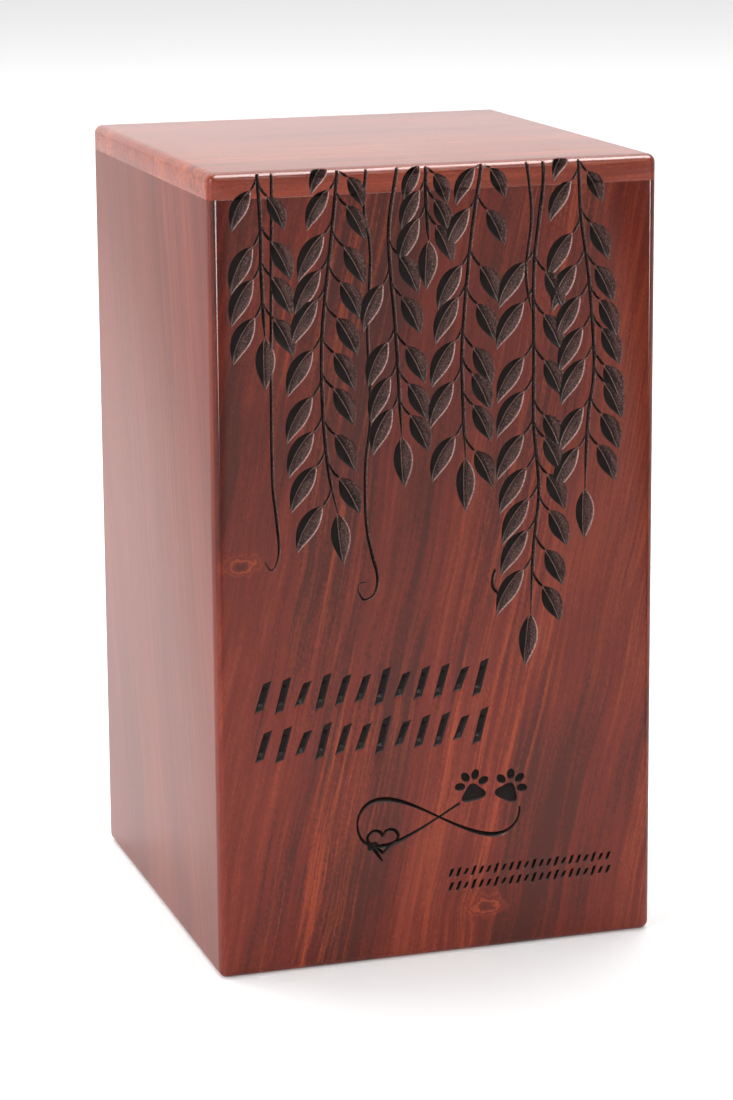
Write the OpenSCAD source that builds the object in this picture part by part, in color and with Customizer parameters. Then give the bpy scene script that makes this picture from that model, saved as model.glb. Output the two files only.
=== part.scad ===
// Cremation urn box: six solid wood boards, the four walls mitred at the corners, a base let in
// between them and a lid that lifts off. The front is carved with hanging vines, and below them
// with two panels of plain strokes, an endless loop with a heart, and two paw prints.
// Millimetres. +Z is up, the front faces -Y, and the origin is under the middle of the box.

/* [Box] */
// Width of the box across the front
body_w = 160; // [130:1:200]
// Depth of the box from front to back
body_d = 165; // [130:1:200]
// Height of the box with its lid on
body_h = 280; // [230:1:340]
// Radius of the rounding along every outer edge
edge_r = 3; // [1:0.5:5]

/* [Boards] */
// Thickness of the four wall boards
wall_t = 12; // [8:0.5:18]
// Thickness of the base board
base_t = 12; // [6:0.5:18]
// Thickness of the lid board
lid_t = 9; // [7:0.5:16]

/* [Lid seat] */
// How far the step under the lid reaches down between the walls
step_h = 5; // [2:0.5:12]
// Gap between that step and the inside of each wall
step_gap = 0.5; // [0.2:0.1:1.5]

/* [Vines] */
// Bare wood left at each side of the vines
vine_margin = 6; // [2:0.5:12]
// Height of a left leaf from its base down to its tip
leaf_l = 16; // [10:0.5:22]
// Width of a leaf at its widest
leaf_w = 7; // [4:0.5:11]
// Depth of the leaves, stalks and stems
vine_depth = 1.4; // [0.6:0.1:3]
// Length of the stalk that carries a leaf, measured down the vine
stalk_drop = 6; // [4:0.5:12]
// Width of a stalk's groove
stalk_w = 0.9; // [0.6:0.1:1.6]
// Width of a stem's groove
stem_w = 1.4; // [0.8:0.1:2.4]

/* [Lower ornaments] */
// Depth of every ornament below the vines
mark_depth = 1; // [0.4:0.1:2]
// Height of the middle of the large stroke panel above the underside
large_panel_z = 91; // [60:1:120]
// Length of the large stroke panel
large_panel_l = 86; // [40:1:100]
// Height of one stroke in the large panel
large_stroke_h = 14; // [8:1:20]
// Height of the middle of the endless loop above the underside
loop_z = 50.5; // [40:0.5:70]
// Bare wood to the left of the large stroke panel
large_margin = 13; // [6:1:40]
// Bare wood to the right of the small stroke panel
small_margin = 15; // [6:1:40]
// Half the length of the endless loop
loop_reach = 30; // [16:1:36]
// Half the height of the endless loop
loop_rise = 8.5; // [5:0.5:14]
// Width of the loop's groove where it is widest
loop_w = 1.7; // [0.8:0.1:3]
// Width of a paw print
paw_w = 12; // [8:0.5:18]
// Height of the middle of the small stroke panel above the underside
small_panel_z = 27; // [16:1:40]
// Length of the small stroke panel
small_panel_l = 62; // [30:1:80]
// Height of one stroke in the small panel
small_stroke_h = 4; // [3:0.5:8]

/* [Hidden] */

$fn = 48;
wall_h = body_h - lid_t;
inner_w = body_w - 2 * wall_t;
inner_d = body_d - 2 * wall_t;
// Cutters and blanks reach this far past the wood they meet.
past = 1;
// Growing the joined outlines by this much welds shapes that only just touch.
weld = 0.02;
// How far a leaf's middle is bowed sideways on the left and on the right of its stem, and how
// far along its stalk bends down.
leaf_bow = [2.6, 1.6];
knee_out = 0.3;
knee_down = 0.6;
// The widest place of a leaf as a share of its length, and how full its shoulder and tip are.
leaf_belly = 0.43;
shoulder_power = 0.92;
tip_power = 1.22;
// A tendril's width as a share of a stem's.
tendril_share = 0.85;
// In a panel of strokes: the distance between rows and each stroke's width, as shares of its
// height, the distance between strokes as a share of their width, and how much heights vary.
row_pitch = 1.25;
large_stroke_share = 0.26;
small_stroke_share = 0.36;
stroke_pitch = 1.9;
stroke_lean = 0.9;
stroke_vary = 0.18;
// Steps along half a leaf's outline, along a stalk, and between two points of a stem.
leaf_steps = 5;
stalk_steps = 2;
stem_steps = 3;
// On the left and on the right: the share of a leaf's reach that its stalk makes, and a leaf's
// height as a share of a left one's.
stalk_share = [0.26, 0.36];
leaf_fall = [1, 0.84];
// Leaves above this drop are young: they grow from young_share to full size down to it.
young_drop = 36;
young_share = 0.68;
// The field that the vines were laid out on, as a half width.
field_half = 74;
across = (body_w / 2 - vine_margin) / field_half;

// Each vine: its place across the field, its stem as [sideways, drop] from there, the drop of
// each leaf tip on the left and on the right, the leaf at its end as [sideways, drop], and how
// far its leaves reach out from the stem on the left and on the right.
VINES = [
    [-62, [[-1, 0], [0, 20], [0, 34], [1, 56]], [20, 41, 52, 65], [20, 37, 49, 63], [1, 74],
        [10.5, 10.5]],
    [-40, [[5, 0], [2, 28], [-1, 56], [-1, 82], [1, 104], [4, 118]],
        [9, 21, 38, 50, 60, 77, 93, 105, 117, 131], [14, 25, 40, 52, 64, 76, 88, 104, 119],
        [6, 136], [12.5, 11.5]],
    [-15, [[1, 0], [-2, 18], [-2, 32], [0, 56], [2, 93]], [56, 76, 88, 99], [44, 58, 75, 88, 99],
        [3, 111], [9.5, 10.5]],
    [-4, [[0, 0], [0, 12], [1, 26]], [13, 23, 34], [14, 24, 34], [0, 43], [9.5, 9.5]],
    [10, [[6, 0], [2, 27], [-1, 60], [-1, 78], [0, 102]], [15, 31, 51, 62, 77, 91, 110],
        [13, 29, 49, 62, 77, 86, 97, 113], [0, 121], [11.5, 10.5]],
    [35, [[3, 0], [3, 10], [0, 36], [0, 66], [0, 91], [2, 115], [0, 136], [-1, 159]],
        [51, 65, 84, 96, 111, 123, 134, 145, 159], [52, 67, 83, 102, 110, 123, 136, 150, 163],
        [-3, 178], [13.5, 10.5]],
    [54, [[-3, 0], [-2, 20], [1, 41], [3, 65], [3, 77], [1, 92], [0, 116]],
        [8, 22, 42, 53, 64, 75, 86, 103, 117], [16, 36, 51, 63, 73, 86, 92, 103, 114], [0, 134],
        [12, 10.5]],
];

// Bare tendrils, each as its place across the field and its route as [sideways, drop].
TENDRILS = [
    [-59, [[1, 0], [0, 68], [0, 104], [1, 116], [2, 128], [1, 134], [-1, 136], [-3, 133]]],
    [-25, [[0, 0], [-1, 13], [1, 26], [1, 37], [0, 56], [1, 84], [-1, 102], [-1, 121], [1, 133],
        [3, 141], [2, 147], [-2, 149], [-4, 145], [-3, 143], [-1, 143]]],
    [33, [[-1, 0], [1, 19], [-1, 38], [1, 52]]],
    [21, [[0, 142], [-1, 145], [-1, 148], [1, 151]]],
];

// Where three curves or points a, b and c bend smoothly, at t from 0 to 1.
function bend(a, b, c, t) = (1 - t) * (1 - t) * a + 2 * t * (1 - t) * b + t * t * c;

// A smooth run through points b and c, whose neighbours are a and d.
function through(a, b, c, d, t) =
    0.5 * (2 * b + t * (c - a) + t * t * (2 * a - 5 * b + 4 * c - d)
        + t * t * t * (3 * b - a - 3 * c + d));

// All the points of a smooth line through p.
function smooth(p, steps) = [
    for (i = [0 : len(p) - 2], k = [0 : steps - 1])
        through(p[max(i - 1, 0)], p[i], p[i + 1], p[min(i + 2, len(p) - 1)], k / steps),
    p[len(p) - 1]
];

// The unit direction of a line p at its point i.
function heading(p, i) =
    let (d = p[min(i + 1, len(p) - 1)] - p[max(i - 1, 0)]) d / norm(d);

// The direction a quarter turn to the left of d.
function left_of(d) = [-d[1], d[0]];

// The outline of a line p whose half width at its point i is half[i].
function ribbon(p, half) = concat(
    [for (i = [0 : len(p) - 1]) p[i] + left_of(heading(p, i)) * half[i]],
    [for (i = [len(p) - 1 : -1 : 0]) p[i] - left_of(heading(p, i)) * half[i]]
);

// Where a smooth line p stands sideways at a given drop, between its nearest points.
function sideways_at(p, drop, i = 0) =
    i >= len(p) - 2 || p[i + 1][1] >= drop
        ? p[i][0] + (p[i + 1][0] - p[i][0]) * (drop - p[i][1]) / (p[i + 1][1] - p[i][1])
        : sideways_at(p, drop, i + 1);

// Half the width of a leaf at t of its length: it swells from its base, then draws out to a tip.
function leaf_half(t) = leaf_w / 2 * pow(t / leaf_belly, shoulder_power)
    * pow((1 - t) / (1 - leaf_belly), tip_power);

// How much of its full size a leaf has at a given drop.
function growth(drop) = min(1, young_share + (1 - young_share) * drop / young_drop);

// A drop down the front turned into a place on it: [sideways, height].
function on_front(x, p) = [x * across + p[0], body_h - p[1]];

// One leaf from its base to its tip, with its middle bowed sideways.
module leaf(base, tip, bow, size) {
    middle = (base + tip) / 2 + left_of((tip - base) / norm(tip - base)) * bow;
    axis = [for (k = [0 : leaf_steps]) bend(base, middle, tip, k / leaf_steps)];
    polygon(ribbon(axis, [for (k = [0 : leaf_steps]) size * leaf_half(k / leaf_steps) + weld]));
}

// A line of even width.
module groove(p, w) {
    polygon(ribbon(p, [for (i = p) w / 2]));
}

// The places of one leaf on a stem: where its stalk starts, its base and its tip. Out is how
// far a full leaf reaches from the stem, below 0 on the left, where hand is 0; right is 1.
function leaf_places(x, stem, out, drop, hand) =
    let (size = growth(drop), base_drop = drop - size * leaf_l * leaf_fall[hand],
        fork = max(0, base_drop - size * stalk_drop), at = sideways_at(stem, fork),
        reach = size * out)
    [on_front(x, [at, fork]), on_front(x, [at + reach * stalk_share[hand], base_drop]),
        on_front(x, [at + reach, drop])];

// Calls for every leaf of every vine: either the leaves themselves or their stalks.
module vine_leaves(stalks) {
    for (v = VINES) {
        stem = smooth(v[1], stem_steps);
        for (side = [-1, 1], drop = side < 0 ? v[2] : v[3]) {
            hand = side < 0 ? 0 : 1;
            p = leaf_places(v[0], stem, side * v[5][hand], drop, hand);
            knee = [p[0][0] + (p[1][0] - p[0][0]) * knee_out, p[0][1] + (p[1][1] - p[0][1]) * knee_down];
            if (stalks)
                groove([for (k = [0 : stalk_steps]) bend(p[0], knee, p[1], k / stalk_steps)], stalk_w);
            else
                leaf(p[1], p[2], side * leaf_bow[hand], growth(drop));
        }
        end = stem[len(stem) - 1];
        if (!stalks)
            leaf(on_front(v[0], end), on_front(v[0], v[4]), 0, 1);
    }
}

// The stems and tendrils of every vine.
module vine_stems() {
    for (v = VINES)
        groove([for (p = smooth(v[1], stem_steps)) on_front(v[0], p)], stem_w);
    for (v = TENDRILS)
        groove([for (p = smooth(v[1], stem_steps)) on_front(v[0], p)], stem_w * tendril_share);
}

// A row of slanted, pointed strokes of width w between two ends, rising to different heights.
module stroke_row(from, to, z, h, w) {
    count = floor((to - from) / (w * stroke_pitch));
    for (i = [0 : count - 1]) {
        x = from + (to - from) * (i + 0.5) / count;
        half = h / 2 * (1 - stroke_vary * (1 - sin(i * 137)));
        polygon([[x - w * stroke_lean, z - half], [x, z - half * (1 - stroke_vary)],
            [x + w * stroke_lean, z + half], [x, z + half * (1 - stroke_vary)]]);
    }
}

// Two rows of strokes in each panel: the large one starts at the left, the small one ends right.
module stroke_panels() {
    left = -body_w / 2 + large_margin;
    right = body_w / 2 - small_margin;
    for (row = [-0.5, 0.5]) {
        stroke_row(left, left + large_panel_l, large_panel_z + row * large_stroke_h * row_pitch,
            large_stroke_h, large_stroke_h * large_stroke_share);
        stroke_row(right - small_panel_l, right, small_panel_z + row * small_stroke_h * row_pitch,
            small_stroke_h, small_stroke_h * small_stroke_share);
    }
}

// A heart's outline of width w, drawn as two halves that meet in a dip above and a point below.
module heart(w) {
    for (side = [-1, 1])
        groove([for (a = [0 : 15 : 180]) w / 34 * [side * 16 * pow(sin(a), 3),
            11 * cos(a) - 4 * cos(2 * a) - 2 * cos(3 * a) - cos(4 * a)]], loop_w * 0.6);
}

// One paw print: a wide pad with four toes around it, all in shares of its width.
module paw(w) {
    for (a = [164, 114, 66, 16])
        translate([cos(a), sin(a)] * w * 0.38)
            rotate(a - 90) scale([0.78, 1]) circle(w * 0.14, $fn = 14);
    for (side = [-1, 1])
        translate([side * w * 0.17, -w * 0.3]) circle(w * 0.15, $fn = 14);
    translate([0, -w * 0.2]) circle(w * 0.21, $fn = 18);
}

// The endless loop, left open under the paw prints, with its heart and the prints themselves.
module loop_and_paws() {
    angles = [for (a = [-3 : 9 : 285]) a];
    polygon(ribbon([for (a = angles) [loop_reach * cos(a), loop_z - loop_rise * sin(2 * a)]],
        [for (a = angles) loop_w / 2 * (0.4 + 0.6 * pow(sin(2 * a), 2))]));
    translate([-loop_reach * 0.69, loop_z - loop_rise * 0.75]) heart(loop_reach * 0.4);
    translate([loop_reach * 0.41, loop_z + loop_rise * 1.14]) rotate(10) paw(paw_w);
    translate([loop_reach * 0.88, loop_z + loop_rise]) rotate(-27) paw(paw_w);
}

// A cutter that sinks a flat outline into the front to a given depth.
module sink(depth) {
    translate([0, -body_d / 2 + depth, 0]) rotate([90, 0, 0])
        linear_extrude(depth + past) offset(delta = weld) children();
}

// Everything that is carved into the front.
module carving() {
    sink(vine_depth) {
        vine_stems();
        vine_leaves(true);
        vine_leaves(false);
    }
    sink(mark_depth) {
        stroke_panels();
        loop_and_paws();
    }
}

// A rectangle centred on the origin, with its corners rounded.
module rounded_rect(w, h, r) {
    square([w - 2 * r, h], center = true);
    square([w, h - 2 * r], center = true);
    for (x = [-1, 1], y = [-1, 1])
        translate([x * (w / 2 - r), y * (h / 2 - r)]) circle(r);
}

// The outside of the whole box, its twelve edges rounded.
module outer_form() {
    intersection() {
        linear_extrude(body_h) rounded_rect(body_w, body_d, edge_r);
        translate([0, body_d / 2, body_h / 2]) rotate([90, 0, 0])
            linear_extrude(body_d) rounded_rect(body_w, body_h, edge_r);
        translate([-body_w / 2, 0, body_h / 2]) rotate([90, 0, 90])
            linear_extrude(body_w) rounded_rect(body_d, body_h, edge_r);
    }
}

// A wall's blank along X: its ends mitred, its outer face on the line y = -reach.
module mitred_blank(reach, half_l) {
    linear_extrude(wall_h)
        polygon([[-half_l, -reach], [half_l, -reach], [half_l - wall_t, wall_t - reach],
            [wall_t - half_l, wall_t - reach]]);
}

// A plain wall, turned to the side that its angle names.
module wall(angle, reach, half_l) {
    intersection() {
        outer_form();
        rotate(angle) mitred_blank(reach, half_l);
    }
}

module front_board() {
    color("#7a3a30") difference() {
        wall(0, body_d / 2, body_w / 2);
        carving();
    }
}

module back_board() {
    color("#7a3a30") wall(180, body_d / 2, body_w / 2);
}

module left_board() {
    color("#8a4438") wall(-90, body_w / 2, body_d / 2);
}

module right_board() {
    color("#8a4438") wall(90, body_w / 2, body_d / 2);
}

module base_board() {
    color("#6a3028") translate([-inner_w / 2, -inner_d / 2, 0]) cube([inner_w, inner_d, base_t]);
}

module lid() {
    step = [inner_w - 2 * step_gap, inner_d - 2 * step_gap, step_h];
    color("#9a5040") difference() {
        union() {
            intersection() {
                outer_form();
                translate([-body_w / 2 - past, -body_d / 2 - past, wall_h])
                    cube([body_w + 2 * past, body_d + 2 * past, lid_t + past]);
            }
            translate([-step[0] / 2, -step[1] / 2, wall_h - step_h]) cube(step);
        }
        carving();
    }
}

front_board();
back_board();
left_board();
right_board();
base_board();
lid();
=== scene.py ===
"""Cremation urn box: six stained boards, the front and the lid's edge carved with hanging vines.

Every length below is in millimetres unless a name says otherwise; meshes are put into the shared
frame in metres. +Z is up and the carved front faces -Y.
"""

import logging
import math
from collections.abc import Sequence
from dataclasses import dataclass, field
from enum import Enum

import bpy
import numpy as np
from mathutils import Matrix, Vector
from mathutils.geometry import delaunay_2d_cdt

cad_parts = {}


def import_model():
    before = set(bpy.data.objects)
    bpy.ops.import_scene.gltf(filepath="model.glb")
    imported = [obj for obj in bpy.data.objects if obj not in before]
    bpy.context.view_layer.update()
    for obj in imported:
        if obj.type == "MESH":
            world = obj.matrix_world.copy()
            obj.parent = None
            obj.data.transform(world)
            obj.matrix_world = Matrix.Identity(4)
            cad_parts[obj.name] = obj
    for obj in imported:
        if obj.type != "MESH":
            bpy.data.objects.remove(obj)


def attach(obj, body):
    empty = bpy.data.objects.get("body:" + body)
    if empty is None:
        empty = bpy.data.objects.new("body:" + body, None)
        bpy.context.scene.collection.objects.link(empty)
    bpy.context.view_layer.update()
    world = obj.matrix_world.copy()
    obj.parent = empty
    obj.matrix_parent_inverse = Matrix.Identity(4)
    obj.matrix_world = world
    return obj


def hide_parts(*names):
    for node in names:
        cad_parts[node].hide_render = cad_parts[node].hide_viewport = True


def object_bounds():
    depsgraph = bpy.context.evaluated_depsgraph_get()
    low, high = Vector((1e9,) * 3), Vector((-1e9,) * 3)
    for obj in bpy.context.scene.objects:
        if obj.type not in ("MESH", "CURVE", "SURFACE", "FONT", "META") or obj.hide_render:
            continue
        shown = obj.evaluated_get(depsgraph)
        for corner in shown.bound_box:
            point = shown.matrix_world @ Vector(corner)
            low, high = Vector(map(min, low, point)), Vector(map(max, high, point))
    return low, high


LOG = logging.getLogger("urn")
MM = 0.001
# Points nearer to each other than this are one point.
WELD = 0.002
# Faces that meet at more than this many degrees meet in a sharp edge.
SHARP_TURN = 32
# The way towards the light, across the front.
UPPER_LEFT = np.array([-0.76, 0.65])
# Grooves and marks keep their place across the cut this far off, so their wood isn't a leaf's.
NOT_LEAF = 20
# The depth of a mark, and how far in from its outline the wall of one reaches.
MARK_DEPTH, MARK_WALL = 1.1, 0.42
# The nodes whose pieces are carved.
CARVED = ("front_board", "lid")
Array = np.ndarray


# ---- Curves and outlines in the plane of the front, as [sideways, height] in millimetres ----


def beside(*parts: Array) -> Array:
    """Rows of numbers set side by side, as the columns of one array."""
    return np.stack(parts, axis=1)


def spin(degrees: float) -> Array:
    """The turn that `points @ spin(degrees)` gives points in a plane."""
    c, s = math.cos(math.radians(degrees)), math.sin(math.radians(degrees))
    return np.array([[c, s], [-s, c]])


def bend(a: Array, b: Array, c: Array, t: Array) -> Array:
    """A smooth bend from a to c, pulled towards b: the quadratic (1-t)^2 a + 2t(1-t) b + t^2 c.

    Args:
        a: The first point.
        b: The point that pulls the bend.
        c: The last point.
        t: Where to read the bend, from 0 to 1.

    Returns:
        One point for each t.
    """
    t = t[:, None]
    return (1 - t) ** 2 * a + 2 * t * (1 - t) * b + t * t * c


def smooth(points: Sequence[Sequence[float]], steps: int) -> Array:
    """A line that runs smoothly through points, each stretch a Catmull-Rom cubic.

    Args:
        points: The points to pass through.
        steps: How many short lines make one stretch.

    Returns:
        The points of the line.
    """
    p = np.asarray(points, float)
    last = len(p) - 1
    t = (np.arange(steps) / steps)[:, None]
    stretches = []
    for i in range(last):
        a, b, c, d = p[max(i - 1, 0)], p[i], p[i + 1], p[min(i + 2, last)]
        square, cube = 2 * a - 5 * b + 4 * c - d, 3 * b - a - 3 * c + d
        stretches.append(0.5 * (2 * b + t * (c - a) + t**2 * square + t**3 * cube))
    return np.vstack(stretches + [p[last:]])


def resample(line: Array, spacing: float) -> Array:
    """The same line with points an even distance apart.

    Args:
        line: Its points.
        spacing: The distance wanted between neighbours.

    Returns:
        The new points, the first and last kept.
    """
    length = np.concatenate([[0], np.cumsum(np.linalg.norm(np.diff(line, axis=0), axis=1))])
    count = max(2, int(round(length[-1] / spacing)) + 1)
    at = np.linspace(0, length[-1], count)
    return np.stack([np.interp(at, length, line[:, k]) for k in (0, 1)], axis=1)


def left_of(line: Array) -> Array:
    """The unit direction to the left of a line at each of its points."""
    run = np.gradient(line, axis=0)
    run /= np.maximum(np.linalg.norm(run, axis=1, keepdims=True), 1e-9)
    return beside(-run[:, 1], run[:, 0])


def rise(x: Array) -> Array:
    """A soft step that goes from 0 to 1 as x does: 3x^2 - 2x^3."""
    x = np.clip(x, 0, 1)
    return x * x * (3 - 2 * x)


def along_line(line: Array, points: Array) -> tuple[Array, Array]:
    """How far along a line each point lies, and how far to its left.

    Each point is dropped square onto every stretch of the line, and the nearest foot is kept.

    Args:
        line: The line's points.
        points: The points to place.

    Returns:
        The share of the line's length at the foot, and the signed distance from it.
    """
    start, run = line[:-1], np.diff(line, axis=0)
    length = np.maximum(np.linalg.norm(run, axis=1), 1e-9)
    gap = points[:, None, :] - start[None]
    foot = np.clip((gap * run).sum(-1) / length**2, 0, 1)
    off = gap - foot[..., None] * run
    distance = np.linalg.norm(off, axis=-1)
    near = distance.argmin(1)
    row = np.arange(len(points))
    side = np.sign(run[near, 0] * gap[row, near, 1] - run[near, 1] * gap[row, near, 0])
    before = np.concatenate([[0], np.cumsum(length)])
    share = (before[near] + foot[row, near] * length[near]) / before[-1]
    return share, side * distance[row, near]


# ---- What the carver cuts: each cut knows its outline, the points it needs and its depth anywhere ----


class CutKind(Enum):
    """What a face of a carved board belongs to."""

    WOOD = 0
    LEAF = 1
    GROOVE = 2
    MARK = 3


@dataclass
class Cut:
    """One cut in the front: a region with a depth at each of its points."""

    kind: CutKind
    line: Array
    half: Array
    shift: float = NOT_LEAF

    def box(self) -> tuple[Array, Array]:
        """The lowest and highest corners of the cut, in the plane."""
        reach = float(self.half.max()) + 0.5
        return self.line.min(0) - reach, self.line.max(0) + reach

    def place(self, points: Array) -> tuple[Array, Array, Array]:
        """The share along the cut, the distance from its middle line and the half width there."""
        share, off = along_line(self.line, points)
        return share, off, np.interp(share, np.linspace(0, 1, len(self.half)), self.half)

    def holds(self, points: Array) -> Array:
        """Whether each point is inside the cut."""
        share, off, half = self.place(points)
        return (np.abs(off) < half) & (share > 1e-6) & (share < 1 - 1e-6)

    def depth(self, points: Array) -> Array:
        """The depth at each point: a V whose bottom is rounded, as deep as half its width."""
        _, off, half = self.place(points)
        across = np.clip(np.abs(off) / np.maximum(half, 1e-6), 0, 1)
        return np.minimum(half * 1.5, 1.3) * (1 - across**1.5)

    def facing(self, share: Array) -> Array:
        """How far the wall on the left of the line faces the upper left, from -1 to 1."""
        inward = -left_of(self.line) @ UPPER_LEFT
        return np.interp(share, np.linspace(0, 1, len(inward)), inward)

    def columns(self) -> Array:
        """Where points are needed across the cut, from -1 to 1."""
        return np.array([-1, -0.5, 0, 0.5, 1])

    def grid(self) -> Array:
        """The points that shape the cut, as [along, across, 2]."""
        side = left_of(self.line) * self.half[:, None]
        return self.line[:, None, :] + side[:, None, :] * self.columns()[None, :, None]


@dataclass
class LeafCut(Cut):
    """A leaf: a short wall around a dished bottom, with a rib standing along its middle."""

    shift: float = 0
    wall_depth: float = 0.55
    wall_run: float = 0.42
    dish: float = 1.6
    rib: float = 0.4
    rib_half: float = 0.26
    flute: float = 0.05

    def columns(self) -> Array:
        """Close columns at the walls and at the rib, even ones between."""
        side = np.array([0.07, 0.15, 0.3, 0.45, 0.6, 0.75, 0.87, 0.95, 1])
        return np.concatenate([-side[::-1], [0], side])

    def depth(self, points: Array) -> Array:
        """The depth at each point: wall + dish * (1 - v^2) - rib, with fine flutes lengthwise."""
        _, off, half = self.place(points)
        half = np.maximum(half, 1e-6)
        v = np.clip(np.abs(off) / half, 0, 1)
        widest = float(self.half.max())
        wall = rise(np.maximum(half - np.abs(off), 0) / self.wall_run)
        full = np.minimum(1, half / (0.55 * widest))
        dish = self.dish * (1 - v**1.8) * full
        rib = self.rib * np.exp(-((off / self.rib_half) ** 2)) * full
        flutes = self.flute * np.sin(v * 5.5 * math.pi) * full
        return np.maximum(self.wall_depth * wall + dish - rib + flutes, 0) * np.sign(wall)


@dataclass
class Region(Cut):
    """A hollow inside a closed outline, such as a heart or one pad of a paw."""

    deepest: float = MARK_DEPTH
    wall_run: float = MARK_WALL

    def box(self) -> tuple[Array, Array]:
        """The lowest and highest corners of the hollow."""
        return self.line.min(0) - 0.3, self.line.max(0) + 0.3

    def place(self, points: Array) -> tuple[Array, Array, Array]:
        """The share along the outline, the distance inside it, and the deepest such distance."""
        ring = np.vstack([self.line, self.line[:1]])
        share, off = along_line(ring, points)
        return share, off, np.full(len(points), float(self.half.max()))

    def facing(self, share: Array) -> Array:
        """A hollow is evenly dark all round."""
        return np.zeros(len(share))

    def holds(self, points: Array) -> Array:
        """Whether each point is inside the outline, which runs anticlockwise."""
        return self.place(points)[1] > 1e-6

    def depth(self, points: Array) -> Array:
        """The depth at each point: a steep wall, then a slight dish."""
        _, off, half = self.place(points)
        inside = np.maximum(off, 0)
        return self.deepest * (0.8 * rise(inside / self.wall_run) + 0.2 * rise(inside / half))

    def grid(self) -> Array:
        """The outline and three rings inside it, as [along, across, 2]."""
        middle = self.line.mean(0)
        inward = -left_of(np.vstack([self.line[-1:], self.line, self.line[:1]]))[1:-1]
        steps = np.array([0, 0.16, 0.4])
        rings = self.line[:, None, :] - inward[:, None, :] * steps[None, :, None]
        core = middle + (self.line - middle) * 0.45
        return np.concatenate([rings, core[:, None, :]], axis=1)


# ---- The layout of the carving ----


@dataclass(frozen=True)
class Vine:
    """One vine: where it hangs, its stem, and the drop of each leaf's tip.

    Stem points and the end leaf's tip are [sideways, drop] from the vine's own place.
    """

    across: float
    stem: tuple[tuple[float, float], ...]
    left: tuple[float, ...] = ()
    right: tuple[float, ...] = ()
    end: tuple[float, float] | None = None
    reach: tuple[float, float] = (10.5, 10.5)


VINES = (
    Vine(-62, ((-1, 0), (0, 20), (0, 34), (1, 56)), (20, 41, 52, 65), (20, 37, 49, 63), (1, 74)),
    Vine(
        -40, ((5, 0), (2, 28), (-1, 56), (-1, 82), (1, 104), (4, 118)),
        (9, 21, 38, 50, 60, 77, 93, 105, 117, 131), (14, 25, 40, 52, 64, 76, 88, 104, 119),
        (6, 136), (12.5, 11.5),
    ),
    Vine(
        -15, ((1, 0), (-2, 18), (-2, 32), (0, 56), (2, 93)),
        (56, 76, 88, 99), (44, 58, 75, 88, 99), (3, 111), (9.5, 10.5),
    ),
    Vine(-4, ((0, 0), (0, 12), (1, 26)), (13, 23, 34), (14, 24, 34), (0, 43), (9.5, 9.5)),
    Vine(
        10, ((6, 0), (2, 27), (-1, 60), (-1, 78), (0, 102)),
        (15, 31, 51, 62, 77, 91, 110), (13, 29, 49, 62, 77, 86, 97, 113), (0, 121), (11.5, 10.5),
    ),
    Vine(
        35, ((3, 0), (3, 10), (0, 36), (0, 66), (0, 91), (2, 115), (0, 136), (-1, 159)),
        (51, 65, 84, 96, 111, 123, 134, 145, 159), (52, 67, 83, 102, 110, 123, 136, 150, 163),
        (-3, 178), (13.5, 10.5),
    ),
    Vine(
        54, ((-3, 0), (-2, 20), (1, 41), (3, 65), (3, 77), (1, 92), (0, 116)),
        (8, 22, 42, 53, 64, 75, 86, 103, 117), (16, 36, 51, 63, 73, 86, 92, 103, 114),
        (0, 134), (12, 10.5),
    ),
)

TENDRILS = (
    Vine(-59, ((1, 0), (0, 68), (0, 104), (1, 116), (2, 128), (1, 134), (-1, 136), (-3, 133))),
    Vine(-25, (
        (0, 0), (-1, 13), (1, 26), (1, 37), (0, 56), (1, 84), (-1, 102), (-1, 121), (1, 133),
        (3, 141), (2, 147), (-2, 149), (-4, 145), (-3, 143), (-1, 143),
    )),
    Vine(33, ((-1, 0), (1, 19), (-1, 38), (1, 52))),
    Vine(21, ((0, 142), (-1, 145), (-1, 148), (1, 151))),
)


@dataclass(frozen=True)
class StrokePanel:
    """Two rows of plain slanted strokes: its ends, its rows' heights, and one stroke's size."""

    start: float
    stop: float
    middle: float
    row_gap: float
    stroke_h: float
    stroke_w: float


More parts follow.
